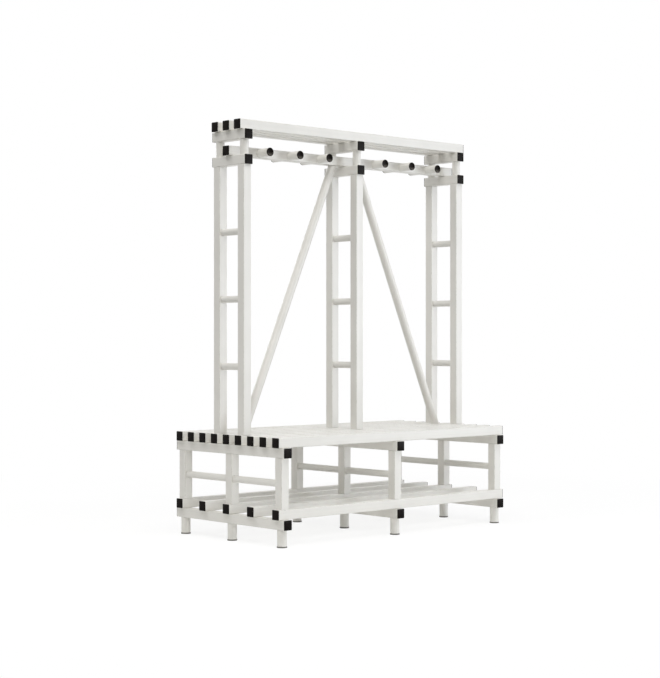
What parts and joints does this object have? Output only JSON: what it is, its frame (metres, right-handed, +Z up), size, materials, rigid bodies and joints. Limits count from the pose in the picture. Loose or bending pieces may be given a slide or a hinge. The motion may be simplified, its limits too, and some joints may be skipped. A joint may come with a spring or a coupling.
{
  "type": "changing room bench",
  "caption": "Free-standing double-sided bench of square plastic tube: slatted seat over a shoe shelf, ladder frames, braces, a rail with round coat pegs and a slatted hat shelf.",
  "frame": {"origin": "on the floor, under the middle of the bench", "axes": "+Z up, +X along the bench to the right as seen from its front, +Y from the front to the rear"},
  "size_m": [1.5, 0.789, 1.9404],
  "materials": {
    "white_pvc": "smooth extruded, satin white",
    "black_cap": "moulded, satin black",
    "grey_glide": "moulded, matt dark grey"
  },
  "bodies": {
    "bench": {"seat_slat_1": "white_pvc", "seat_slat_2": "white_pvc", "seat_slat_3": "white_pvc", "seat_slat_4": "white_pvc", "seat_slat_5": "white_pvc", "seat_slat_6": "white_pvc", "seat_slat_7": "white_pvc", "seat_slat_8": "white_pvc", "seat_slat_9": "white_pvc", "shelf_slat_1": "white_pvc", "shelf_slat_2": "white_pvc", "shelf_slat_3": "white_pvc", "shelf_slat_4": "white_pvc", "shelf_slat_5": "white_pvc", "hat_slat_1": "white_pvc", "hat_slat_2": "white_pvc", "hat_slat_3": "white_pvc", "hook_rail": "white_pvc", "coat_peg_1": "white_pvc", "coat_peg_2": "white_pvc", "coat_peg_3": "white_pvc", "coat_peg_4": "white_pvc", "coat_peg_5": "white_pvc", "coat_peg_6": "white_pvc", "shelf_bearer_left": "white_pvc", "shelf_bearer_middle": "white_pvc", "shelf_bearer_right": "white_pvc", "seat_bearer_left": "white_pvc", "seat_bearer_middle": "white_pvc", "seat_bearer_right": "white_pvc", "rail_bearer_left": "white_pvc", "rail_bearer_middle": "white_pvc", "rail_bearer_right": "white_pvc", "hat_bearer_left": "white_pvc", "hat_bearer_middle": "white_pvc", "hat_bearer_right": "white_pvc", "leg_front_left": "white_pvc", "leg_front_middle": "white_pvc", "leg_front_right": "white_pvc", "leg_centre_left": "white_pvc", "leg_centre_middle": "white_pvc", "leg_centre_right": "white_pvc", "leg_rear_left": "white_pvc", "leg_rear_middle": "white_pvc", "leg_rear_right": "white_pvc", "ladder_left": "white_pvc", "ladder_middle": "white_pvc", "ladder_right": "white_pvc", "brace_left": "white_pvc", "brace_right": "white_pvc"},
    "glide_front_left": {"glide_front_left": "grey_glide"},
    "glide_front_middle": {"glide_front_middle": "grey_glide"},
    "glide_front_right": {"glide_front_right": "grey_glide"},
    "glide_centre_left": {"glide_centre_left": "grey_glide"},
    "glide_centre_middle": {"glide_centre_middle": "grey_glide"},
    "glide_centre_right": {"glide_centre_right": "grey_glide"},
    "glide_rear_left": {"glide_rear_left": "grey_glide"},
    "glide_rear_middle": {"glide_rear_middle": "grey_glide"},
    "glide_rear_right": {"glide_rear_right": "grey_glide"}
  },
  "joints": [
    {"name": "level_front_left", "type": "slide", "parent": "bench", "child": "glide_front_left", "axis": [0, 0, -1], "range_m": [0, 0.015]},
    {"name": "level_front_middle", "type": "slide", "parent": "bench", "child": "glide_front_middle", "axis": [0, 0, -1], "range_m": [0, 0.015]},
    {"name": "level_front_right", "type": "slide", "parent": "bench", "child": "glide_front_right", "axis": [0, 0, -1], "range_m": [0, 0.015]},
    {"name": "level_centre_left", "type": "slide", "parent": "bench", "child": "glide_centre_left", "axis": [0, 0, -1], "range_m": [0, 0.015]},
    {"name": "level_centre_middle", "type": "slide", "parent": "bench", "child": "glide_centre_middle", "axis": [0, 0, -1], "range_m": [0, 0.015]},
    {"name": "level_centre_right", "type": "slide", "parent": "bench", "child": "glide_centre_right", "axis": [0, 0, -1], "range_m": [0, 0.015]},
    {"name": "level_rear_left", "type": "slide", "parent": "bench", "child": "glide_rear_left", "axis": [0, 0, -1], "range_m": [0, 0.015]},
    {"name": "level_rear_middle", "type": "slide", "parent": "bench", "child": "glide_rear_middle", "axis": [0, 0, -1], "range_m": [0, 0.015]},
    {"name": "level_rear_right", "type": "slide", "parent": "bench", "child": "glide_rear_right", "axis": [0, 0, -1], "range_m": [0, 0.015]}
  ]
}
